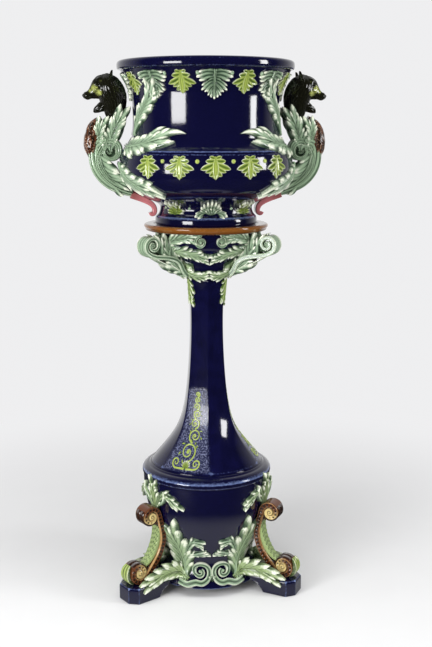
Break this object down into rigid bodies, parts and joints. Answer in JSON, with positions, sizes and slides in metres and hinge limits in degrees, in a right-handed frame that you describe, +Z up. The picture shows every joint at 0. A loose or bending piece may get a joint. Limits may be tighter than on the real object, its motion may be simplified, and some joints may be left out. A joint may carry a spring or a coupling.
{
  "type": "jardiniere on stand",
  "caption": "Glazed jardiniere with bear-headed scroll handles and applied leaves, standing loose on a tall hexagonal pedestal with a leaf capital and scroll feet.",
  "frame": {"origin": "on the floor on the axis of the pedestal, which is also the axis of the jardiniere", "axes": "+Z up, -Y towards the front face between the two front feet, the two handles along +X and -X"},
  "size_m": [0.5242, 0.4188, 1.17],
  "materials": {
    "cobalt_glaze": "glossy majolica glaze",
    "mint_glaze": "glossy majolica glaze",
    "lime_glaze": "glossy majolica glaze",
    "brown_glaze": "glossy majolica glaze",
    "honey_glaze": "glossy majolica glaze",
    "bear_glaze": "glossy majolica glaze",
    "chest_glaze": "glossy mottled brown glaze",
    "rose_glaze": "glossy majolica glaze"
  },
  "bodies": {
    "stand": {"base_leaves_front": "mint_glaze", "base_leaves_rear_left": "mint_glaze", "base_leaves_rear_right": "mint_glaze", "base_scrolls_front": "mint_glaze", "base_scrolls_rear_left": "mint_glaze", "base_scrolls_rear_right": "mint_glaze", "capital_bell": "cobalt_glaze", "capital_corner_back": "mint_glaze", "capital_corner_left": "mint_glaze", "capital_corner_right": "mint_glaze", "capital_leaves_lower": "mint_glaze", "capital_leaves_middle": "mint_glaze", "capital_leaves_upper": "mint_glaze", "drum": "cobalt_glaze", "foot_block_back": "cobalt_glaze", "foot_block_left": "cobalt_glaze", "foot_block_right": "cobalt_glaze", "foot_leaves_front": "mint_glaze", "foot_leaves_rear_left": "mint_glaze", "foot_leaves_rear_right": "mint_glaze", "leg_leaf_back": "mint_glaze", "leg_leaf_left": "mint_glaze", "leg_leaf_right": "mint_glaze", "leg_scroll_back": "brown_glaze", "leg_scroll_left": "brown_glaze", "leg_scroll_right": "brown_glaze", "neck_pendants": "lime_glaze", "shaft": "cobalt_glaze", "shoulder_leaf_back": "mint_glaze", "shoulder_leaf_left": "mint_glaze", "shoulder_leaf_right": "mint_glaze", "top_plate": "honey_glaze"},
    "jardiniere": {"bear_chest_left": "chest_glaze", "bear_chest_right": "chest_glaze", "bear_head_left": "bear_glaze", "bear_head_right": "bear_glaze", "belly_beads": "lime_glaze", "belly_leaves": "lime_glaze", "bowl": "cobalt_glaze", "foot_bracket_left": "rose_glaze", "foot_bracket_right": "rose_glaze", "handle_collar_left": "mint_glaze", "handle_collar_right": "mint_glaze", "handle_leaf_lower_left": "mint_glaze", "handle_leaf_lower_right": "mint_glaze", "handle_leaf_middle_left": "mint_glaze", "handle_leaf_middle_right": "mint_glaze", "handle_leaf_upper_left": "mint_glaze", "handle_leaf_upper_right": "mint_glaze", "handle_scroll_left": "mint_glaze", "handle_scroll_right": "mint_glaze", "rim_beads": "lime_glaze", "rim_leaves_large": "lime_glaze", "rim_leaves_small": "lime_glaze", "stem_beads": "lime_glaze", "stem_leaves_large": "lime_glaze", "stem_leaves_small": "lime_glaze"}
  },
  "joints": [
    {"name": "jardiniere_lift", "type": "slide", "parent": "stand", "child": "jardiniere", "axis": [0, 0, 1], "range_m": [0, 0.12]}
  ]
}
